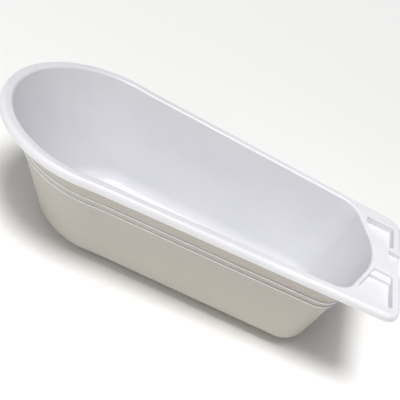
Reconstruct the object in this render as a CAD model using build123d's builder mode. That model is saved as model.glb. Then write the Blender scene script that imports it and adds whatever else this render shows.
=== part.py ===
"""Moulded baby bath with a round head end, a soap deck at the foot end and a screwed-in waste outlet.

Millimetres, +Z up. The origin is under the middle of the length, on the surface the bath stands on.
+X runs from the round head end to the soap deck, +Y to the side with the shorter soap tray.
"""

import os
from math import atan2, cos, degrees, radians, sin, sqrt, tan

from build123d import *

# ---------------------------------------------------------------- driving dimensions
LENGTH = 1000.0
HEIGHT = 265.0
WALL = 3.0                    # one wall thickness all over, as in any injection moulding

# rim in plan: a round head, then two straight sides that close in towards a square foot end
HEAD_RADIUS = 240.0
SIDE_SETBACK = 2.8            # how far the straight sides lie inside a tangent to the head
RIM_TAPER = 3.4               # degrees, each side against the centre line
WAIST_RADIUS = 500.0          # hollow curve where the round head meets a straight side
RIM_CORNER_RADIUS = 40.0
RIM_ROLL = 10.0               # round on the rim's outer top edge
LIP_HEIGHT = 18.0             # how far the rim's edge hangs down
RIM_WIDTH = 22.0              # from the rim's outer edge to the outside of the basin wall
SHOULDER = 6.0                # round between the rim's top and the basin wall

# outside of the basin wall, as it is at the rim's level and at the base's level
TOP_FOOT_APEX = 443.0         # where the two halves of the bowed foot wall would meet
TOP_CORNER_RADIUS = 60.0
BASE_HEAD_X = -174.0
BASE_HEAD_RADIUS = 155.0
BASE_TAPER = 1.2
BASE_FOOT_APEX = 398.0
BASE_CORNER_RADIUS = 66.0
BOW_RADIUS = 200.0            # round where the two halves of the foot wall meet
FLANK_ANGLE = 22.0            # each half of the foot wall against the Y axis
BASE_ROUND = 56.0             # outside round between the wall and the base
STAND_HEIGHT = 12.0           # foot ring under the base
STAND_INSET = 52.0
STAND_WIDTH = 6.0

# two thin beads run round the outside of the wall
BEAD_DROPS = (66.0, 82.0)     # bead centres below the rim's top
BEAD_HEIGHT = 3.6
BEAD_PROUD = 2.0
BEAD_ROUND = 0.7

# soap deck
LONG_TRAY_START = 396.0
SHORT_TRAY_START = 405.0
TRAY_END = 478.0
LONG_TRAY = (-163.0, -44.0)
SHORT_TRAY = (64.0, 152.0)
TRAY_DEPTH = 18.0
TRAY_CORNER = 6.0
TRAY_DRAFT = 3.0              # degrees
TRAY_RIDGE = 9.5              # from the inside of the foot wall to a tray
LEDGE_DEPTH = 10.0            # shelf in the long tray, beside the middle block
LEDGE_WIDTH = 20.0
LEDGE_STEP = 1.0              # the deep part is this much narrower on its other sides
NOTCH = (-32.0, 50.0)
NOTCH_START = 466.0
NOTCH_DEPTH = 12.0
EDGE_ROUND = 2.0              # broken edges of the trays and the notch

# waste outlet: its flange lies in a recess in the floor, its backnut clears the ground
DRAIN_X = 270.0
FLANGE_RADIUS = 30.0
FLANGE_THICKNESS = 2.5
FLANGE_SEAL_THICKNESS = 1.5
TAIL_RADIUS = 19.0
DRAIN_BORE = 15.5
SEAT_WIDTH = 1.5              # coned lead-in round the bore
STRAINER_BAR = 2.0
NUT_SEAL_THICKNESS = 2.0
NUT_HEIGHT = 5.0
NUT_RADIUS = 25.0
NUT_LUGS = 8
NUT_LUG_SIZE = 4.0
GROUND_CLEARANCE = 1.0
FIT_GAP = 0.3                 # between pieces that slip past each other
THREAD_GAP = 0.1

# plug and its pull ring
PLUG_TOP_RADIUS = 22.5
PLUG_TOP_THICKNESS = 3.0
PLUG_BODY_LENGTH = 8.0
PLUG_BODY_DRAFT = 5.0         # degrees
LUG_WIDTH = 8.0
LUG_THICKNESS = 5.0
LUG_HOLE_RADIUS = 1.8
LUG_HOLE_HEIGHT = 1.9         # hole centre above the plug's top
LUG_EDGE = 2.2                # rubber round the hole
RING_RADIUS = 10.5            # to the middle of the wire
WIRE_RADIUS = 1.1

# ---------------------------------------------------------------- sizes that follow
HEAD_X = HEAD_RADIUS - LENGTH / 2
FOOT_X = LENGTH / 2
RIM_UNDERSIDE = HEIGHT - WALL
LIP_BOTTOM = HEIGHT - LIP_HEIGHT
BASE_UNDERSIDE = STAND_HEIGHT
FLOOR = BASE_UNDERSIDE + WALL
RECESS_DEPTH = FLANGE_THICKNESS + FLANGE_SEAL_THICKNESS
RECESS_FLOOR = FLOOR - RECESS_DEPTH
BOSS_BOTTOM = RECESS_FLOOR - WALL
PLUG_SEAT = FLOOR + FIT_GAP
PLUG_TOP = PLUG_SEAT + PLUG_TOP_THICKNESS
RING_PIVOT_Z = PLUG_TOP + LUG_HOLE_HEIGHT


# ---------------------------------------------------------------- plan outlines
def side_line_y(head_x, head_radius, taper, x):
    """Half width of the straight side at a place along the length."""
    reach = head_radius - SIDE_SETBACK
    return (reach - (x - head_x) * sin(radians(taper))) / cos(radians(taper))


def draw_outline(head_x, head_radius, taper, waist_radius, foot_corners, foot_radii):
    """Draws a closed plan outline: head arc, hollow waist arcs, straight sides, foot corners.

    foot_corners are the corner points from the +Y side to the -Y side, before rounding.
    """
    slope = radians(taper)
    # the waist arc touches both the head arc and the straight side from outside
    across = head_radius - SIDE_SETBACK + waist_radius
    along = sqrt((head_radius + waist_radius) ** 2 - across**2)
    waist_x = head_x + across * sin(slope) + along * cos(slope)
    waist_y = across * cos(slope) - along * sin(slope)
    line_x = waist_x - waist_radius * sin(slope)
    line_y = waist_y - waist_radius * cos(slope)
    head_end = degrees(atan2(waist_y, waist_x - head_x))
    waist_size = 90.0 - taper - head_end
    FilletPolyline((line_x, line_y), *foot_corners, (line_x, -line_y), radius=foot_radii)
    CenterArc((head_x, 0), head_radius, head_end, 360.0 - 2 * head_end)
    CenterArc((waist_x, waist_y), waist_radius, 180.0 + head_end, waist_size)
    CenterArc((waist_x, -waist_y), waist_radius, 180.0 - head_end - waist_size, waist_size)


def draw_rim_outline(inset):
    """The rim's outer edge, moved inwards by inset."""
    radius = HEAD_RADIUS - inset
    corner_x = FOOT_X - inset
    corner_y = side_line_y(HEAD_X, radius, RIM_TAPER, corner_x)
    corners = [(corner_x, corner_y), (corner_x, -corner_y)]
    corner_radius = RIM_CORNER_RADIUS - inset
    draw_outline(HEAD_X, radius, RIM_TAPER, WAIST_RADIUS + inset, corners, [corner_radius] * 2)


def between(top, base, level):
    """A basin size at a level: 0 is the rim's top, 1 the underside of the base."""
    return top + (base - top) * level


def draw_basin_outline(level, inset=0.0):
    """The outside of the basin wall at a level, moved inwards by inset."""
    head_x = between(HEAD_X, BASE_HEAD_X, level)
    head_radius = between(HEAD_RADIUS - RIM_WIDTH, BASE_HEAD_RADIUS, level) - inset
    taper = between(RIM_TAPER, BASE_TAPER, level)
    waist_radius = WAIST_RADIUS + inset
    corner_radius = between(TOP_CORNER_RADIUS, BASE_CORNER_RADIUS, level) - inset
    bow_radius = BOW_RADIUS - inset
    apex_x = between(TOP_FOOT_APEX, BASE_FOOT_APEX, level) - inset / cos(radians(FLANK_ANGLE))
    # a flank runs back from the apex until it meets the straight side
    flank = tan(radians(FLANK_ANGLE))
    corner_y = side_line_y(head_x, head_radius, taper, apex_x) / (1 - flank * tan(radians(taper)))
    corner_x = apex_x - corner_y * flank
    corners = [(corner_x, corner_y), (apex_x, 0), (corner_x, -corner_y)]
    draw_outline(
        head_x, head_radius, taper, waist_radius, corners, [corner_radius, bow_radius, corner_radius]
    )


def level_at(z):
    """The basin level of a height above the ground."""
    return (HEIGHT - z) / (HEIGHT - BASE_UNDERSIDE)


def draw_deck_bay():
    """The deck beyond the ridge that runs along the foot wall, drawn past the rim all round."""
    apex_x = TOP_FOOT_APEX + (TRAY_RIDGE - WALL) / cos(radians(FLANK_ANGLE))
    back_x = apex_x - HEAD_RADIUS * tan(radians(FLANK_ANGLE))
    Polyline(
        (apex_x, 0),
        (back_x, HEAD_RADIUS),
        (LENGTH, HEAD_RADIUS),
        (LENGTH, -HEAD_RADIUS),
        (back_x, -HEAD_RADIUS),
        close=True,
    )


# ---------------------------------------------------------------- solids the tub is cut from
def basin_block(inset, floor_z, base_round):
    """A solid block of the basin's shape, moved inwards by inset, with its flat base at floor_z."""
    with BuildPart() as block:
        with BuildSketch(Plane.XY.offset(HEIGHT)):
            with BuildLine():
                draw_basin_outline(0, inset)
            make_face()
        with BuildSketch(Plane.XY.offset(BASE_UNDERSIDE)):
            with BuildLine():
                draw_basin_outline(1, inset)
            make_face()
        loft(ruled=True)
        if floor_z > BASE_UNDERSIDE:
            split(bisect_by=Plane.XY.offset(floor_z), keep=Keep.TOP)
        fillet(block.faces().sort_by(Axis.Z)[0].edges(), base_round)
    return block.part


def tray_block(start_x, y_range, top, depth, grow=0.0):
    """The hollow of a tray from one depth to another, or the solid round it if grow is a wall."""
    low, high = y_range
    with BuildPart() as block:
        with BuildSketch(Plane.XY.offset(HEIGHT - top)) as plan:
            with Locations(((start_x + TRAY_END) / 2, (low + high) / 2)):
                Rectangle(TRAY_END - start_x, high - low)
            with BuildLine():
                draw_deck_bay()
            make_face(mode=Mode.INTERSECT)
            fillet(plan.vertices(), TRAY_CORNER)
            if grow:
                offset(amount=grow)
        extrude(amount=top - depth - grow, taper=TRAY_DRAFT)
        fillet(block.faces().sort_by(Axis.Z)[0].edges(), EDGE_ROUND + grow)
    return block.part


def notch_block(grow=0.0):
    """The dip in the rim at the foot end, or the solid round it when grow is the wall thickness."""
    low, high = NOTCH
    middle_y = (low + high) / 2
    width = high - low + 2 * grow
    start = NOTCH_START - grow
    length = FOOT_X - start + (0 if grow else WALL)
    with BuildPart() as block:
        with BuildSketch(Plane.XY.offset(HEIGHT)):
            with Locations((start + length / 2, middle_y)):
                Rectangle(length, width)
        extrude(amount=-NOTCH_DEPTH - grow)
        inner_corners = block.edges().filter_by(Axis.Z).group_by(Axis.X)[0]
        fillet(inner_corners, TRAY_CORNER + grow)
    return block.part


def bead_ring(drop):
    """A ring round the basin, from the middle of its wall to a rounded edge that stands proud."""
    level = level_at(HEIGHT - drop)
    with BuildPart() as ring:
        with BuildSketch(Plane.XY.offset(HEIGHT - drop - BEAD_HEIGHT / 2)):
            with BuildLine():
                draw_basin_outline(level, -BEAD_PROUD)
            make_face()
            with BuildLine():
                draw_basin_outline(level, WALL / 2)
            make_face(mode=Mode.SUBTRACT)
        extrude(amount=BEAD_HEIGHT)
        for flat in ring.faces().filter_by(Plane.XY):
            fillet(flat.outer_wire().edges(), BEAD_ROUND)
    return ring.part


def tray_blocks(grow=0.0):
    """The long tray down to its ledge, the deep part beside the ledge, and the short tray.

    The solid round them, when grow is a wall, starts inside the deck's own thickness.
    """
    top = grow / 2
    well_start = LONG_TRAY_START + LEDGE_STEP
    well_range = (LONG_TRAY[0] + LEDGE_STEP, LONG_TRAY[1] - LEDGE_WIDTH)
    return [
        tray_block(LONG_TRAY_START, LONG_TRAY, top, LEDGE_DEPTH, grow),
        tray_block(well_start, well_range, LEDGE_DEPTH - 2, TRAY_DEPTH, grow),
        tray_block(SHORT_TRAY_START, SHORT_TRAY, top, TRAY_DEPTH, grow),
    ]


basin_outside = basin_block(0, BASE_UNDERSIDE, BASE_ROUND)
basin_inside = basin_block(WALL, FLOOR, BASE_ROUND - WALL)

# hollow under the rim, between the lip and the basin wall
with BuildPart() as rim_hollow:
    with BuildSketch(Plane.XY.offset(LIP_BOTTOM)):
        with BuildLine():
            draw_rim_outline(WALL)
        make_face()
    extrude(amount=RIM_UNDERSIDE - LIP_BOTTOM)
    fillet(rim_hollow.faces().sort_by(Axis.Z)[-1].edges(), RIM_ROLL - WALL)
    add(basin_outside, mode=Mode.SUBTRACT)
    inner_edge = rim_hollow.faces().sort_by(Axis.Z)[-1].inner_wires()[0].edges()
    fillet(inner_edge, SHOULDER - WALL)
    add(notch_block(WALL), mode=Mode.SUBTRACT)

# ---------------------------------------------------------------- tub shell, one moulding
with BuildPart() as tub_shell:
    with BuildSketch(Plane.XY.offset(LIP_BOTTOM)):
        with BuildLine():
            draw_rim_outline(0)
        make_face()
    extrude(amount=LIP_HEIGHT)
    fillet(tub_shell.faces().sort_by(Axis.Z)[-1].edges(), RIM_ROLL)
    add(basin_outside)
    # the basin's hollow, with a round shoulder at its mouth
    add(basin_inside, mode=Mode.SUBTRACT)
    mouth = tub_shell.faces().filter_by(Plane.XY).sort_by(Axis.Z)[-1].inner_wires()[0].edges()
    fillet(mouth, SHOULDER)
    # the rim's underside, the soap trays with floors a little below the lip, and the notch
    add(rim_hollow.part, mode=Mode.SUBTRACT)
    add(tray_blocks(WALL))
    add(tray_blocks(), mode=Mode.SUBTRACT)
    add(notch_block(), mode=Mode.SUBTRACT)
    for drop in BEAD_DROPS:
        add(bead_ring(drop))
    # foot ring under the base
    with BuildSketch(Plane.XY):
        with BuildLine():
            draw_basin_outline(1, STAND_INSET)
        make_face()
        with BuildLine():
            draw_basin_outline(1, STAND_INSET + STAND_WIDTH)
        make_face(mode=Mode.SUBTRACT)
    extrude(amount=STAND_HEIGHT + WALL / 2)
    # boss under the waste outlet, and the outlet's hole and recess
    with BuildSketch(Plane.XY.offset(BOSS_BOTTOM)):
        with Locations((DRAIN_X, 0)):
            Circle(FLANGE_RADIUS + 2 * WALL)
    extrude(amount=FLOOR - WALL / 2 - BOSS_BOTTOM)
    with Locations((DRAIN_X, 0, FLOOR)):
        CounterBoreHole(TAIL_RADIUS + FIT_GAP, FLANGE_RADIUS + FIT_GAP, RECESS_DEPTH)
    # broken edges round the trays
    rim_top = tub_shell.faces().filter_by(Plane.XY).sort_by(Axis.Z)[-1]
    for wire in rim_top.inner_wires():
        if wire.bounding_box().min.X > 0:
            fillet(wire.edges(), EDGE_ROUND)
    # broken edges round the notch, up its two sides and along its outer lip
    notch_floor = tub_shell.faces().filter_by(Plane.XY).filter_by_position(
        Axis.Z, HEIGHT - NOTCH_DEPTH - 0.1, HEIGHT - NOTCH_DEPTH + 0.1
    )
    notch_lip = notch_floor.edges().sort_by(Axis.X)[-1]
    fillet(notch_lip, EDGE_ROUND)
    notch_mouth = tub_shell.edges().filter_by_position(
        Axis.Z, HEIGHT - 0.1, HEIGHT + 0.1
    ).filter_by_position(Axis.X, NOTCH_START - 0.1, FOOT_X).filter_by_position(
        Axis.Y, NOTCH[0] - 0.1, NOTCH[1] + 0.1
    )
    fillet(notch_mouth, EDGE_ROUND)

# ---------------------------------------------------------------- waste outlet
with BuildPart() as drain_outlet:
    # flange over the floor, tail down through it
    with Locations((DRAIN_X, 0, FLOOR)):
        Cylinder(FLANGE_RADIUS, FLANGE_THICKNESS, align=(Align.CENTER, Align.CENTER, Align.MAX))
        Cylinder(TAIL_RADIUS, FLOOR - GROUND_CLEARANCE, align=(Align.CENTER, Align.CENTER, Align.MAX))
    fillet(drain_outlet.faces().sort_by(Axis.Z)[-1].edges(), 1.0)
    with Locations((DRAIN_X, 0, FLOOR)):
        Hole(DRAIN_BORE)
    seat = drain_outlet.faces().sort_by(Axis.Z)[-1].inner_wires()[0].edges()
    chamfer(seat, SEAT_WIDTH)
    # strainer: a cross of bars at the lower end of the bore
    with Locations((DRAIN_X, 0, GROUND_CLEARANCE)):
        for bar_angle in (0, 60, 120):
            Box(
                2 * DRAIN_BORE + WALL,
                STRAINER_BAR,
                STRAINER_BAR,
                rotation=(0, 0, bar_angle),
                align=(Align.CENTER, Align.CENTER, Align.MIN),
            )
drain_outlet.part.label = "drain_outlet"

with BuildPart() as flange_seal:
    with BuildSketch(Plane.XY.offset(RECESS_FLOOR)):
        with Locations((DRAIN_X, 0)):
            Circle(FLANGE_RADIUS - 1)
            Circle(TAIL_RADIUS + FIT_GAP, mode=Mode.SUBTRACT)
    extrude(amount=FLANGE_SEAL_THICKNESS)
flange_seal.part.label = "flange_seal"

with BuildPart() as nut_seal:
    with BuildSketch(Plane.XY.offset(BOSS_BOTTOM - NUT_SEAL_THICKNESS)):
        with Locations((DRAIN_X, 0)):
            Circle(NUT_RADIUS + 1)
            Circle(TAIL_RADIUS + FIT_GAP, mode=Mode.SUBTRACT)
    extrude(amount=NUT_SEAL_THICKNESS)
nut_seal.part.label = "nut_seal"

with BuildPart() as drain_nut:
    with BuildSketch(Plane.XY.offset(BOSS_BOTTOM - NUT_SEAL_THICKNESS - NUT_HEIGHT)):
        with Locations((DRAIN_X, 0)):
            Circle(NUT_RADIUS)
            with PolarLocations(NUT_RADIUS, NUT_LUGS):
                Rectangle(NUT_LUG_SIZE, 2 * NUT_LUG_SIZE)
            Circle(TAIL_RADIUS + THREAD_GAP, mode=Mode.SUBTRACT)
    extrude(amount=NUT_HEIGHT)
    chamfer(drain_nut.faces().sort_by(Axis.Z)[0].outer_wire().edges(), 0.6)
drain_nut.part.label = "drain_nut"

# ---------------------------------------------------------------- plug and pull ring
with BuildPart() as drain_plug:
    # tapered body in the bore
    with BuildSketch(Plane.XY.offset(PLUG_SEAT)):
        with Locations((DRAIN_X, 0)):
            Circle(DRAIN_BORE - FIT_GAP)
    extrude(amount=-PLUG_BODY_LENGTH, taper=PLUG_BODY_DRAFT)
    fillet(drain_plug.faces().sort_by(Axis.Z)[0].edges(), 1.5)
    # lid that covers the flange's bore
    with BuildSketch(Plane.XY.offset(PLUG_SEAT)):
        with Locations((DRAIN_X, 0)):
            Circle(PLUG_TOP_RADIUS)
    extrude(amount=PLUG_TOP_THICKNESS)
    fillet(drain_plug.faces().sort_by(Axis.Z)[-1].edges(), 1.8)
    # upright lug with a cross hole for the ring
    with BuildSketch(Plane.XZ.offset(-LUG_THICKNESS / 2)):
        with Locations((DRAIN_X, RING_PIVOT_Z)):
            Circle(LUG_HOLE_RADIUS + LUG_EDGE)
        with Locations((DRAIN_X, PLUG_TOP - WALL / 2)):
            Rectangle(LUG_WIDTH, RING_PIVOT_Z - PLUG_TOP + WALL / 2, align=(Align.CENTER, Align.MIN))
        with Locations((DRAIN_X, RING_PIVOT_Z)):
            Circle(LUG_HOLE_RADIUS, mode=Mode.SUBTRACT)
    extrude(amount=LUG_THICKNESS)
drain_plug.part.label = "drain_plug"

with BuildPart() as pull_ring:
    with Locations((DRAIN_X + RING_RADIUS, 0, RING_PIVOT_Z)):
        Torus(RING_RADIUS, WIRE_RADIUS)
pull_ring.part.label = "pull_ring"

# ---------------------------------------------------------------- one file for each piece
os.makedirs("parts", exist_ok=True)
export_step(tub_shell.part, "parts/tub_shell.step")
export_step(drain_outlet.part, "parts/drain_outlet.step")
export_step(flange_seal.part, "parts/flange_seal.step")
export_step(nut_seal.part, "parts/nut_seal.step")
export_step(drain_nut.part, "parts/drain_nut.step")
export_step(drain_plug.part, "parts/drain_plug.step")
export_step(pull_ring.part, "parts/pull_ring.step")
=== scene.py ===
"""Moulded baby bath: the finishes of its seven pieces, and a plain studio round it.

Metres, +Z up. The bath stands on z = 0 with its length along X, the round head end towards -X.
"""

import math

import bpy
from bpy.props import FloatProperty, FloatVectorProperty, PointerProperty
from mathutils import Matrix, Vector


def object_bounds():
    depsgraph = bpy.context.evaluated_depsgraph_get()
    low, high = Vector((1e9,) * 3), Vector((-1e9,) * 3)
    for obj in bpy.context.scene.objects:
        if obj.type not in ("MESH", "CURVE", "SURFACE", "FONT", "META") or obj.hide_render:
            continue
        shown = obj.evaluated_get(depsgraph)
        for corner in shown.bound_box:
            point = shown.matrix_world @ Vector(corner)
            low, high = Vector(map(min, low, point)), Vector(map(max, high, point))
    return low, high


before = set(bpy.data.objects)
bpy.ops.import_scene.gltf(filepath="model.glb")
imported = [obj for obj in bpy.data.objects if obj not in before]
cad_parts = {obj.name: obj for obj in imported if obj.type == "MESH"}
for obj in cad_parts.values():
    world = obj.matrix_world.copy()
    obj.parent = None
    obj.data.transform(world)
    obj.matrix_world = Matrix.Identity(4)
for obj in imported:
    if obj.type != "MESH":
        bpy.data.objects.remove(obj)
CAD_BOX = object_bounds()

bl_info = {
    "name": "Baby bath",
    "version": (1, 0, 0),
    "blender": (4, 5, 0),
    "location": "3D View > Sidebar > Baby bath",
    "description": "Finishes a moulded baby bath with its waste outlet and plug, and sets a studio",
    "category": "Object",
}

MM = 0.001
MIDDLE = (CAD_BOX[0] + CAD_BOX[1]) / 2
FLOOR_Z = CAD_BOX[0].z
WALL = 3.0 * MM               # the moulding's wall thickness
BEAD_DROPS = (66 * MM, 82 * MM)     # middles of the two beads, below the rim's top
BEAD_REACH = 2 * MM           # half a bead's height and a little more
OUTSIDE_START = 20 * MM       # below the rim's top, where the polished rim gives way to the grain and the painted shade
OUTSIDE_FADE = 4 * MM
SPINE = (0.45, 1.0, 0.0)      # how much a place's X, Y and Z say which way is outwards
DOWNWARD = (0.0, 0.0, -0.05)  # counts faces that look down as outside
OUTWARD_RANGE = (-0.01, 0.03)       # from inside to outside, in metres along the normal
RIPPLE_DEPTH = 0.03 * MM
GRAIN_DEPTH = 0.08 * MM
MOTTLE_SIZE = 5 * MM
FLOW_SCALE = (6.0, 14.0, 9.0)       # clouds per metre, longest along the bath
PLASTIC_IOR = 1.49            # polypropylene
RUBBER_IOR = 1.52

# the camera looks at a point beside the bath's middle, through a lens shifted off its axis
AIM_OFFSET = Vector((14, 6, 6)) * MM
LENS_SHIFT = (0.0174, 0.0369)
FLOOR_SIZE = 40.0
WORLD_COLOUR = "EBEDF2"
WORLD_STRENGTH = 0.24
OVERHEAD_DISC = 22            # degrees across, so that its shadows have soft edges
FOOT_LIGHT_PLACE = (0.6, -0.4, 1.4)
FOOT_LIGHT_SIZE = (0.5, 0.5)
FOOT_LIGHT_SPREAD = 60        # degrees, so that it lights the soap deck and little else
# name, place, width and height, colour, and the setting that holds its power
SOFTBOXES = (
    ("softbox_front", (-1.1, -1.6, 1.25), (1.6, 0.7), "FFFFFF", "front_power"),
    ("softbox_low_head", (-1.3, -1.7, 0.3), (1.0, 0.4), "E6EAD8", "fill_power"),
    ("softbox_low_foot", (1.2, -1.7, 0.3), (1.0, 0.4), "F0D8BC", "fill_power"),
)


def linear_colour(hex_code):
    """The linear red, green and blue of an sRGB colour written as six hex digits."""
    values = []
    for start in (0, 2, 4):
        level = int(hex_code[start:start + 2], 16) / 255
        values.append(level / 12.92 if level <= 0.04045 else ((level + 0.055) / 1.055) ** 2.4)
    return tuple(values)


# ---------------------------------------------------------------- settings
class BathTubSettings(bpy.types.PropertyGroup):
    """The tub's plastic: white polypropylene, injection moulded."""

    colour: FloatVectorProperty(
        name="Plastic", description="White pigment of the moulding",
        subtype="COLOR", size=3, min=0, max=1, default=linear_colour("E4E4E7"),
    )
    # painted shade: the darker, warmer outside colour stands in for the shade the outside wall lies
    # in
    outside_painted_shade: FloatVectorProperty(
        name="Outside", description="The eroded outside, which looks a little duller and warmer",
        subtype="COLOR", size=3, min=0, max=1, default=linear_colour("BEB9B1"),
    )
    cloud_colour: FloatVectorProperty(
        name="Flow marks", description="Where the pigment lies slightly thinner",
        subtype="COLOR", size=3, min=0, max=1, default=linear_colour("E0E0E4"),
    )
    gloss_roughness: FloatProperty(
        name="Inside roughness", description="Roughness where the mould was polished",
        subtype="FACTOR", min=0, max=1, default=0.27,
    )
    matt_roughness: FloatProperty(
        name="Outside roughness", description="Roughness where the mould was spark eroded",
        subtype="FACTOR", min=0, max=1, default=0.46,
    )
    ripple: FloatProperty(
        name="Ripple spacing", description="Distance between the slow waves of the moulded skin",
        subtype="DISTANCE", unit="LENGTH", min=0.001, max=0.1, default=22 * MM,
    )
    grain: FloatProperty(
        name="Grain", description="Grain size of the spark-eroded outside",
        subtype="DISTANCE", unit="LENGTH", min=0.0001, max=0.01, default=1.6 * MM,
    )


class BathWasteSettings(bpy.types.PropertyGroup):
    """The waste outlet, its backnut and its two washers."""

    outlet_colour: FloatVectorProperty(
        name="Outlet", description="Moulded plastic of the outlet and its backnut",
        subtype="COLOR", size=3, min=0, max=1, default=linear_colour("DEDFE0"),
    )
    washer_colour: FloatVectorProperty(
        name="Washers", description="Black rubber of the two washers",
        subtype="COLOR", size=3, min=0, max=1, default=linear_colour("232324"),
    )


class BathPlugSettings(bpy.types.PropertyGroup):
    """The plug and its pull ring."""

    plug_colour: FloatVectorProperty(
        name="Plug", description="Soft rubber of the plug",
        subtype="COLOR", size=3, min=0, max=1, default=linear_colour("C9CBCC"),
    )
    ring_colour: FloatVectorProperty(
        name="Ring", description="Stainless steel wire of the pull ring",
        subtype="COLOR", size=3, min=0, max=1, default=linear_colour("C6C5C2"),
    )


class BathStudioSettings(bpy.types.PropertyGroup):
    """Camera, lights and floor."""

    azimuth: FloatProperty(
        name="Azimuth", description="Direction of view round the bath, 0 looks along +Y",
        subtype="ANGLE", default=math.radians(-4.22),
    )
    elevation: FloatProperty(
        name="Elevation", description="Height of the camera above the horizon",
        subtype="ANGLE", default=math.radians(34.69),
    )
    roll: FloatProperty(
        name="Roll", description="Turn of the picture about the line of sight",
        subtype="ANGLE", default=math.radians(28.51),
    )
    distance: FloatProperty(
        name="Distance", description="From the camera to the middle of the bath",
        subtype="DISTANCE", unit="LENGTH", min=0.5, default=2.003,
    )
    lens: FloatProperty(
        name="Lens", description="Focal length in millimetres on a 36 mm sensor",
        min=10, max=300, default=75.83,
    )
    floor_colour: FloatVectorProperty(
        name="Floor", description="Painted board under the bath",
        subtype="COLOR", size=3, min=0, max=1, default=linear_colour("FAF9F7"),
    )
    overhead_strength: FloatProperty(
        name="Overhead light",
        description="Strength of the wide light above, in watts per square metre",
        min=0, default=2.35,
    )
    overhead_elevation: FloatProperty(
        name="Overhead elevation", description="Height of the wide light above the horizon",
        subtype="ANGLE", default=math.radians(76),
    )
    overhead_azimuth: FloatProperty(
        name="Overhead azimuth", description="Side that the wide light comes from, 0 is the front",
        subtype="ANGLE", default=math.radians(-22),
    )
    foot_power: FloatProperty(
        name="Foot light", description="Power of the softbox above the soap deck, in watts",
        min=0, default=0.5,
    )
    front_power: FloatProperty(
        name="Front light", description="Power of the wide softbox in front of the bath, in watts",
        min=0, default=8.5,
    )
    fill_power: FloatProperty(
        name="Low fill lights", description="Power of each low softbox, in watts",
        min=0, default=2.2,
    )


# ---------------------------------------------------------------- materials
def new_material(name):
    """An empty node material with its output, its shader and its object coordinates."""
    material = bpy.data.materials.new(name)
    material.use_nodes = True
    tree = material.node_tree
    tree.nodes.clear()
    shader = add_node(tree, "ShaderNodeBsdfPrincipled")
    add_node(tree, "ShaderNodeOutputMaterial", links={"Surface": shader.outputs["BSDF"]})
    place = add_node(tree, "ShaderNodeTexCoord").outputs["Object"]
    return material, tree, shader, place


def add_node(tree, kind, settings=None, links=None):
    """Adds a node. Settings are its properties and input values, links its inputs' sources."""
    node = tree.nodes.new(kind)
    for key, value in (settings or {}).items():
        if isinstance(key, str) and hasattr(node, key):
            setattr(node, key, value)
        else:
            node.inputs[key].default_value = value
    for key, source in (links or {}).items():
        tree.links.new(source, node.inputs[key])
    return node


def opaque(colour):
    """A colour with full alpha."""
    return (*colour, 1.0)


def darker(colour, share):
    """A colour that keeps only a share of its brightness."""
    return tuple(value * share for value in colour)


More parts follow.
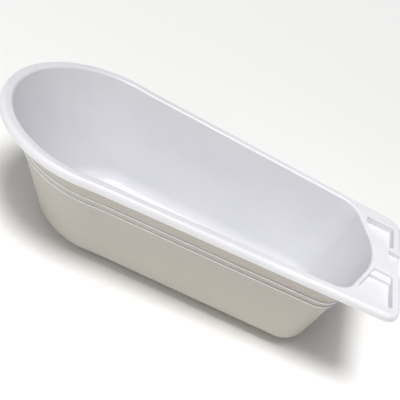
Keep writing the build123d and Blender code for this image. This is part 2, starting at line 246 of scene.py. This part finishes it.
def moulded_polypropylene(settings):
    """White polypropylene, injection moulded: a waxy, slightly wavy skin.

    The eye gets soft wide highlights that wobble a little, brighter and sharper inside and on
    the rim, where the mould was polished, than on the outside, which has a fine eroded grain.
    The outside below the rim also gets a darker, warmer colour, which is painted shade; a band
    round each bead is kept out of it, so the beads read as light lines.
    """
    material, tree, shader, place = new_material("polypropylene_white_moulded")
    shader.inputs["IOR"].default_value = PLASTIC_IOR
    shader.inputs["Subsurface Weight"].default_value = 0.12
    shader.inputs["Subsurface Radius"].default_value = (1.0, 0.95, 0.9)
    shader.inputs["Subsurface Scale"].default_value = WALL / 2
    # outside: below the rim's edge, and facing down or away from the bath's middle line; here the
    # colour gets painted shade, and the roughness and grain change
    normal = add_node(tree, "ShaderNodeNewGeometry").outputs["Normal"]
    spine = add_node(
        tree, "ShaderNodeVectorMath",
        {"operation": "MULTIPLY_ADD", 1: SPINE, 2: DOWNWARD}, {0: place},
    ).outputs["Vector"]
    away = add_node(
        tree, "ShaderNodeVectorMath", {"operation": "DOT_PRODUCT"}, {0: normal, 1: spine}
    ).outputs["Value"]
    outward = add_node(
        tree, "ShaderNodeMapRange",
        {
            "interpolation_type": "SMOOTHSTEP",
            "From Min": OUTWARD_RANGE[0], "From Max": OUTWARD_RANGE[1],
        },
        {"Value": away},
    ).outputs["Result"]
    height = add_node(tree, "ShaderNodeSeparateXYZ", links={"Vector": place}).outputs["Z"]
    lip_z = CAD_BOX[1].z - OUTSIDE_START
    below_rim = add_node(
        tree, "ShaderNodeMapRange",
        {
            "interpolation_type": "SMOOTHSTEP",
            "From Min": lip_z, "From Max": lip_z - OUTSIDE_FADE,
        },
        {"Value": height},
    ).outputs["Result"]
    outside = add_node(
        tree, "ShaderNodeMath", {"operation": "MULTIPLY"}, {0: outward, 1: below_rim}
    ).outputs["Value"]
    # a band round each bead is kept out of the outside: it gets no painted shade, so the beads show
    # as light lines, and it keeps the glossier roughness without the grain
    for drop in BEAD_DROPS:
        bead = add_node(
            tree, "ShaderNodeMath",
            {"operation": "COMPARE", 1: CAD_BOX[1].z - drop, 2: BEAD_REACH}, {0: height},
        ).outputs["Value"]
        outside = add_node(
            tree, "ShaderNodeMath",
            {"operation": "SUBTRACT", "use_clamp": True}, {0: outside, 1: bead},
        ).outputs["Value"]
    # pigment: broad soft clouds along the flow of the melt, and a fine mottle
    flow = add_node(
        tree, "ShaderNodeMapping", {"Scale": FLOW_SCALE}, {"Vector": place}
    ).outputs["Vector"]
    clouds = add_node(
        tree, "ShaderNodeTexNoise",
        {"Scale": 1.0, "Detail": 3.0, "Roughness": 0.55}, {"Vector": flow},
    ).outputs["Fac"]
    mottle = add_node(
        tree, "ShaderNodeTexNoise",
        {"Scale": 1 / MOTTLE_SIZE, "Detail": 2.0, "Roughness": 0.6}, {"Vector": place},
    ).outputs["Fac"]
    mixed = add_node(
        tree, "ShaderNodeMath", {"operation": "MULTIPLY_ADD", 1: 0.25}, {0: mottle, 2: clouds}
    ).outputs["Value"]
    share = add_node(
        tree, "ShaderNodeMapRange",
        {"interpolation_type": "SMOOTHSTEP", "From Min": 0.45, "From Max": 0.85},
        {"Value": mixed},
    ).outputs["Result"]
    pigment = add_node(
        tree, "ShaderNodeMix",
        {"data_type": "RGBA", 6: opaque(settings.colour), 7: opaque(settings.cloud_colour)},
        {0: share},
    ).outputs[2]
    # the outside gets the darker, warmer colour as painted shade
    pigment_with_painted_shade = add_node(
        tree, "ShaderNodeMix",
        {"data_type": "RGBA", 7: opaque(settings.outside_painted_shade)}, {0: outside, 6: pigment},
    ).outputs[2]
    tree.links.new(pigment_with_painted_shade, shader.inputs["Base Color"])
    # gloss: polished inside, eroded outside, both a little uneven from handling
    gloss = add_node(
        tree, "ShaderNodeMix",
        {"data_type": "FLOAT", 2: settings.gloss_roughness, 3: settings.matt_roughness},
        {0: outside},
    ).outputs[0]
    uneven = add_node(
        tree, "ShaderNodeMath", {"operation": "MULTIPLY_ADD", 1: 0.03}, {0: clouds, 2: gloss}
    ).outputs["Value"]
    tree.links.new(uneven, shader.inputs["Roughness"])
    # relief: slow ripple of the skin everywhere, eroded grain on the outside
    ripple = add_node(
        tree, "ShaderNodeTexNoise",
        {"Scale": 1 / settings.ripple, "Detail": 1.5, "Roughness": 0.4}, {"Vector": place},
    ).outputs["Fac"]
    skin = add_node(
        tree, "ShaderNodeBump", {"Strength": 1.0, "Distance": RIPPLE_DEPTH}, {"Height": ripple}
    ).outputs["Normal"]
    grain = add_node(
        tree, "ShaderNodeTexNoise",
        {"Scale": 1 / settings.grain, "Detail": 3.0, "Roughness": 0.7}, {"Vector": place},
    ).outputs["Fac"]
    eroded = add_node(
        tree, "ShaderNodeMath", {"operation": "MULTIPLY"}, {0: grain, 1: outside}
    ).outputs["Value"]
    surface = add_node(
        tree, "ShaderNodeBump", {"Strength": 1.0, "Distance": GRAIN_DEPTH},
        {"Height": eroded, "Normal": skin},
    ).outputs["Normal"]
    tree.links.new(surface, shader.inputs["Normal"])
    return material


def natural_polypropylene(settings):
    """Natural polypropylene, moulded: the outlet's waxy skin, a shade greyer than the tub."""
    material, tree, shader, place = new_material("polypropylene_natural_moulded")
    shader.inputs["IOR"].default_value = PLASTIC_IOR
    shader.inputs["Subsurface Weight"].default_value = 0.1
    shader.inputs["Subsurface Scale"].default_value = 1 * MM
    cloud = add_node(
        tree, "ShaderNodeTexNoise", {"Scale": 1 / (8 * MM), "Detail": 4.0}, {"Vector": place}
    ).outputs["Fac"]
    shaded = darker(settings.outlet_colour, 0.9)
    tint = add_node(
        tree, "ShaderNodeMix",
        {"data_type": "RGBA", 6: opaque(settings.outlet_colour), 7: opaque(shaded)}, {0: cloud},
    ).outputs[2]
    tree.links.new(tint, shader.inputs["Base Color"])
    rough = add_node(
        tree, "ShaderNodeMapRange", {"To Min": 0.26, "To Max": 0.4}, {"Value": cloud}
    ).outputs["Result"]
    tree.links.new(rough, shader.inputs["Roughness"])
    peel = add_node(
        tree, "ShaderNodeTexNoise", {"Scale": 1 / (1.5 * MM), "Detail": 2.0}, {"Vector": place}
    ).outputs["Fac"]
    relief = add_node(
        tree, "ShaderNodeBump", {"Distance": 0.04 * MM}, {"Height": peel}
    ).outputs["Normal"]
    tree.links.new(relief, shader.inputs["Normal"])
    return material


def moulded_rubber(name, colour, roughness, grain):
    """Moulded rubber: a dull skin with a grey bloom in soft patches and a fine sandy grain."""
    material, tree, shader, place = new_material(name)
    shader.inputs["IOR"].default_value = RUBBER_IOR
    bloom = add_node(
        tree, "ShaderNodeTexNoise",
        {"Scale": 1 / (6 * MM), "Detail": 5.0, "Roughness": 0.65}, {"Vector": place},
    ).outputs["Fac"]
    dusty = tuple(value + 0.03 for value in darker(colour, 0.85))
    tint = add_node(
        tree, "ShaderNodeMix",
        {"data_type": "RGBA", 6: opaque(colour), 7: opaque(dusty)}, {0: bloom},
    ).outputs[2]
    tree.links.new(tint, shader.inputs["Base Color"])
    rough = add_node(
        tree, "ShaderNodeMapRange",
        {"To Min": roughness, "To Max": roughness + 0.15}, {"Value": bloom},
    ).outputs["Result"]
    tree.links.new(rough, shader.inputs["Roughness"])
    sand = add_node(
        tree, "ShaderNodeTexNoise", {"Scale": 1 / grain, "Detail": 3.0}, {"Vector": place}
    ).outputs["Fac"]
    relief = add_node(
        tree, "ShaderNodeBump", {"Distance": 0.05 * MM}, {"Height": sand}
    ).outputs["Normal"]
    tree.links.new(relief, shader.inputs["Normal"])
    return material


def drawn_steel(settings):
    """Stainless steel wire, drawn and tumbled: bright, with soft wear and tiny handling marks."""
    material, tree, shader, place = new_material("stainless_steel_wire_drawn")
    shader.inputs["Metallic"].default_value = 1.0
    smudge = add_node(
        tree, "ShaderNodeTexNoise", {"Scale": 1 / (3 * MM), "Detail": 5.0}, {"Vector": place}
    ).outputs["Fac"]
    duller = darker(settings.ring_colour, 0.82)
    tint = add_node(
        tree, "ShaderNodeMix",
        {"data_type": "RGBA", 6: opaque(settings.ring_colour), 7: opaque(duller)}, {0: smudge},
    ).outputs[2]
    tree.links.new(tint, shader.inputs["Base Color"])
    rough = add_node(
        tree, "ShaderNodeMapRange", {"To Min": 0.12, "To Max": 0.34}, {"Value": smudge}
    ).outputs["Result"]
    tree.links.new(rough, shader.inputs["Roughness"])
    marks = add_node(
        tree, "ShaderNodeTexNoise", {"Scale": 1 / (0.4 * MM), "Detail": 2.0}, {"Vector": place}
    ).outputs["Fac"]
    relief = add_node(
        tree, "ShaderNodeBump", {"Distance": 0.01 * MM}, {"Height": marks}
    ).outputs["Normal"]
    tree.links.new(relief, shader.inputs["Normal"])
    return material


def painted_board(settings):
    """Matt painted board: pale, with a faint roller texture."""
    material, tree, shader, place = new_material("board_white_matt_painted")
    roller = add_node(
        tree, "ShaderNodeTexNoise", {"Scale": 40.0, "Detail": 4.0}, {"Vector": place}
    ).outputs["Fac"]
    shade = darker(settings.floor_colour, 0.985)
    tint = add_node(
        tree, "ShaderNodeMix",
        {"data_type": "RGBA", 6: opaque(settings.floor_colour), 7: opaque(shade)}, {0: roller},
    ).outputs[2]
    tree.links.new(tint, shader.inputs["Base Color"])
    shader.inputs["Roughness"].default_value = 0.85
    shader.inputs["Specular IOR Level"].default_value = 0.2
    return material


def finish_node(name, material):
    """Gives a carried-over piece its material."""
    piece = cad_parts[name]
    piece.data.materials.clear()
    piece.data.materials.append(material)


# ---------------------------------------------------------------- pieces
class BATH_OT_finish_tub(bpy.types.Operator):
    """Give the tub shell its moulded white polypropylene"""

    bl_idname = "bath.finish_tub"
    bl_label = "Tub shell"
    bl_options = {"REGISTER", "UNDO"}

    def execute(self, context):
        finish_node("tub_shell", moulded_polypropylene(context.scene.bath_tub))
        return {"FINISHED"}


class BATH_OT_finish_waste(bpy.types.Operator):
    """Give the waste outlet and its backnut their moulded plastic"""

    bl_idname = "bath.finish_waste"
    bl_label = "Waste outlet and backnut"
    bl_options = {"REGISTER", "UNDO"}

    def execute(self, context):
        plastic = natural_polypropylene(context.scene.bath_waste)
        for name in ("drain_outlet", "drain_nut"):
            finish_node(name, plastic)
        return {"FINISHED"}


class BATH_OT_finish_washers(bpy.types.Operator):
    """Give the two washers of the waste outlet their black rubber"""

    bl_idname = "bath.finish_washers"
    bl_label = "Washers"
    bl_options = {"REGISTER", "UNDO"}

    def execute(self, context):
        colour = context.scene.bath_waste.washer_colour
        rubber = moulded_rubber("epdm_rubber_black_moulded", colour, 0.55, 0.5 * MM)
        for name in ("flange_seal", "nut_seal"):
            finish_node(name, rubber)
        return {"FINISHED"}


class BATH_OT_finish_plug(bpy.types.Operator):
    """Give the plug its soft pale rubber"""

    bl_idname = "bath.finish_plug"
    bl_label = "Plug"
    bl_options = {"REGISTER", "UNDO"}

    def execute(self, context):
        colour = context.scene.bath_plug.plug_colour
        finish_node("drain_plug", moulded_rubber("tpe_rubber_grey_moulded", colour, 0.38, 0.9 * MM))
        return {"FINISHED"}


class BATH_OT_finish_ring(bpy.types.Operator):
    """Give the pull ring its drawn steel"""

    bl_idname = "bath.finish_ring"
    bl_label = "Pull ring"
    bl_options = {"REGISTER", "UNDO"}

    def execute(self, context):
        finish_node("pull_ring", drawn_steel(context.scene.bath_plug))
        return {"FINISHED"}


# ---------------------------------------------------------------- studio
def add_softbox(name, place, aim, size, power, colour):
    """A rectangular area light at a place, turned towards a point."""
    data = bpy.data.lights.new(name, "AREA")
    data.shape = "RECTANGLE"
    data.size, data.size_y = size
    data.energy = power
    data.color = linear_colour(colour)
    light = bpy.data.objects.new(name, data)
    bpy.context.scene.collection.objects.link(light)
    light.location = place
    light.rotation_euler = (Vector(aim) - Vector(place)).to_track_quat("-Z", "Y").to_euler()
    return light


def direction(azimuth, elevation):
    """The direction from the bath towards a place. Azimuth 0 is the front."""
    return Vector((
        math.sin(azimuth) * math.cos(elevation),
        -math.cos(azimuth) * math.cos(elevation),
        math.sin(elevation),
    ))


def add_overhead_light(settings):
    """A wide far light above the front of the bath, so that the whole floor is lit evenly."""
    data = bpy.data.lights.new("overhead_light", "SUN")
    data.energy = settings.overhead_strength
    data.angle = math.radians(OVERHEAD_DISC)
    light = bpy.data.objects.new("overhead_light", data)
    bpy.context.scene.collection.objects.link(light)
    towards = direction(settings.overhead_azimuth, settings.overhead_elevation)
    light.rotation_euler = towards.to_track_quat("Z", "Y").to_euler()


def add_camera(settings):
    """The camera, aimed at the middle of the bath and rolled about its line of sight."""
    back = direction(settings.azimuth, settings.elevation)
    level = Vector((math.cos(settings.azimuth), math.sin(settings.azimuth), 0))
    upright = back.cross(level)
    across = math.cos(settings.roll) * level + math.sin(settings.roll) * upright
    up = math.cos(settings.roll) * upright - math.sin(settings.roll) * level
    camera = bpy.data.objects.new("camera", bpy.data.cameras.new("camera"))
    bpy.context.scene.collection.objects.link(camera)
    pose = Matrix((across, up, back)).transposed().to_4x4()
    pose.translation = MIDDLE + AIM_OFFSET + back * settings.distance
    camera.matrix_world = pose
    camera.data.sensor_width = 36
    camera.data.lens = settings.lens
    camera.data.shift_x, camera.data.shift_y = LENS_SHIFT
    bpy.context.scene.camera = camera


class BATH_OT_set_studio(bpy.types.Operator):
    """Lay the floor and set the lights and the camera"""

    bl_idname = "bath.set_studio"
    bl_label = "Studio"
    bl_options = {"REGISTER", "UNDO"}

    def execute(self, context):
        settings = context.scene.bath_studio
        bpy.ops.object.select_all(action="DESELECT")
        bpy.ops.mesh.primitive_plane_add(size=FLOOR_SIZE, location=(0, 0, FLOOR_Z))
        floor = context.object
        floor.name = "studio_floor"
        floor.data.materials.append(painted_board(settings))
        world = bpy.data.worlds.new("studio")
        context.scene.world = world
        world.use_nodes = True
        sky = world.node_tree.nodes["Background"]
        sky.inputs["Color"].default_value = opaque(linear_colour(WORLD_COLOUR))
        sky.inputs["Strength"].default_value = WORLD_STRENGTH
        context.scene.view_settings.view_transform = "Standard"
        add_overhead_light(settings)
        deck = (CAD_BOX[1].x, 0, CAD_BOX[1].z)
        foot_light = add_softbox(
            "softbox_foot", FOOT_LIGHT_PLACE, deck, FOOT_LIGHT_SIZE, settings.foot_power, "FFFFFF"
        )
        foot_light.data.spread = math.radians(FOOT_LIGHT_SPREAD)
        for name, place, size, colour, power in SOFTBOXES:
            add_softbox(name, place, MIDDLE, size, getattr(settings, power), colour)
        add_camera(settings)
        return {"FINISHED"}


class BATH_PT_sidebar(bpy.types.Panel):
    """Settings and steps of the baby bath"""

    bl_idname = "BATH_PT_sidebar"
    bl_label = "Baby bath"
    bl_space_type = "VIEW_3D"
    bl_region_type = "UI"
    bl_category = "Baby bath"

    def draw(self, context):
        layout = self.layout
        for group in (
            context.scene.bath_tub, context.scene.bath_waste,
            context.scene.bath_plug, context.scene.bath_studio,
        ):
            box = layout.box()
            for name in group.__annotations__:
                box.prop(group, name)
        for step in STEPS:
            layout.operator(step.bl_idname)


SETTINGS = {
    "bath_tub": BathTubSettings,
    "bath_waste": BathWasteSettings,
    "bath_plug": BathPlugSettings,
    "bath_studio": BathStudioSettings,
}
STEPS = (
    BATH_OT_finish_tub,
    BATH_OT_finish_waste,
    BATH_OT_finish_washers,
    BATH_OT_finish_plug,
    BATH_OT_finish_ring,
    BATH_OT_set_studio,
)
CLASSES = (*SETTINGS.values(), *STEPS, BATH_PT_sidebar)


def register():
    """Registers the classes and hangs the settings on the scene."""
    for item in CLASSES:
        bpy.utils.register_class(item)
    for name, group in SETTINGS.items():
        setattr(bpy.types.Scene, name, PointerProperty(type=group))


def unregister():
    """Takes the settings and the classes away again."""
    for name in SETTINGS:
        delattr(bpy.types.Scene, name)
    for item in reversed(CLASSES):
        bpy.utils.unregister_class(item)


def main():
    """Runs every step in order."""
    register()
    bpy.ops.bath.finish_tub()
    bpy.ops.bath.finish_waste()
    bpy.ops.bath.finish_washers()
    bpy.ops.bath.finish_plug()
    bpy.ops.bath.finish_ring()
    bpy.ops.bath.set_studio()


if __name__ == "__main__":
    main()
